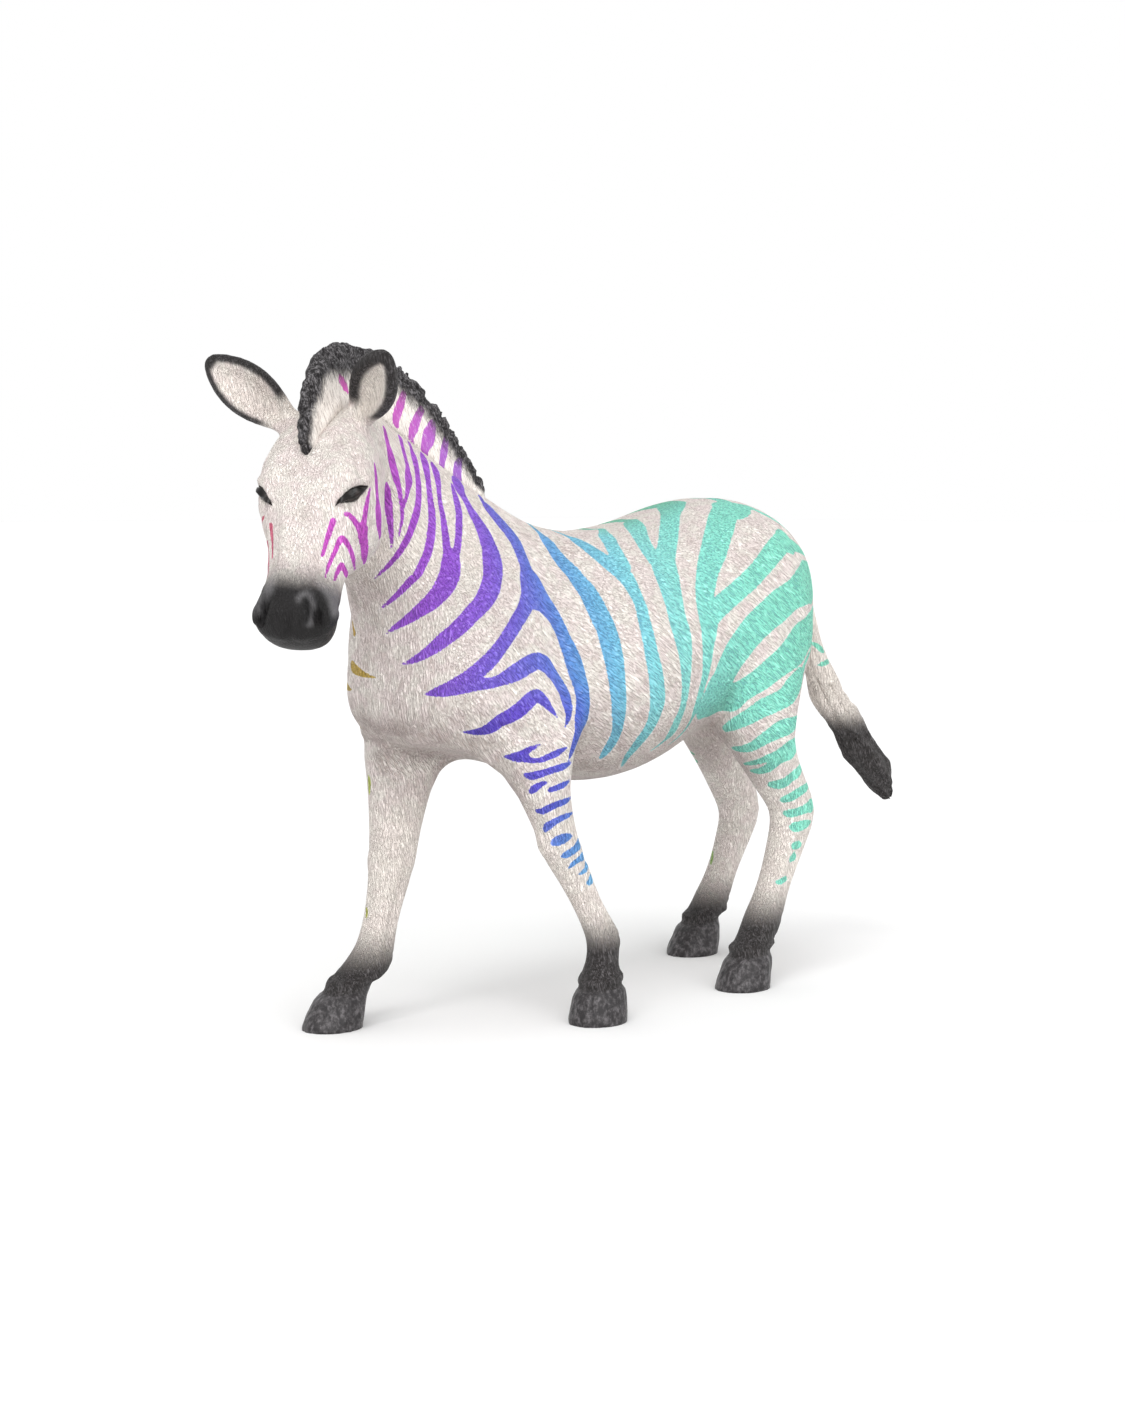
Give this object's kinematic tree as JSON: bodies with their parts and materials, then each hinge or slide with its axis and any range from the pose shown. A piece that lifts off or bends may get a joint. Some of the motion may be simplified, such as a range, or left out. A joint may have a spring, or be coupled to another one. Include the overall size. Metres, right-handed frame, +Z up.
{
  "type": "toy zebra figure",
  "caption": "Toy zebra figure of moulded plastic in a walking pose, its legs, neck, ears, mane and tail made apart and plugged into the body.",
  "frame": {"origin": "on the ground under the middle of the figure's bounding box", "axes": "+X from the head to the tail, -Y the figure's left side, +Z up from the hooves"},
  "size_m": [0.1326, 0.035, 0.0892],
  "materials": {
    "coat": "moulded fur, matt, sprayed and painted with stripes",
    "mane": "moulded hair, matt, sprayed dark grey at the tips"
  },
  "bodies": {
    "root": {"torso": "coat", "head_and_neck": "coat", "front_left_leg": "coat", "front_right_leg": "coat", "rear_left_leg": "coat", "rear_right_leg": "coat", "left_ear": "coat", "right_ear": "coat", "mane": "mane", "tail": "coat"}
  },
  "joints": []
}
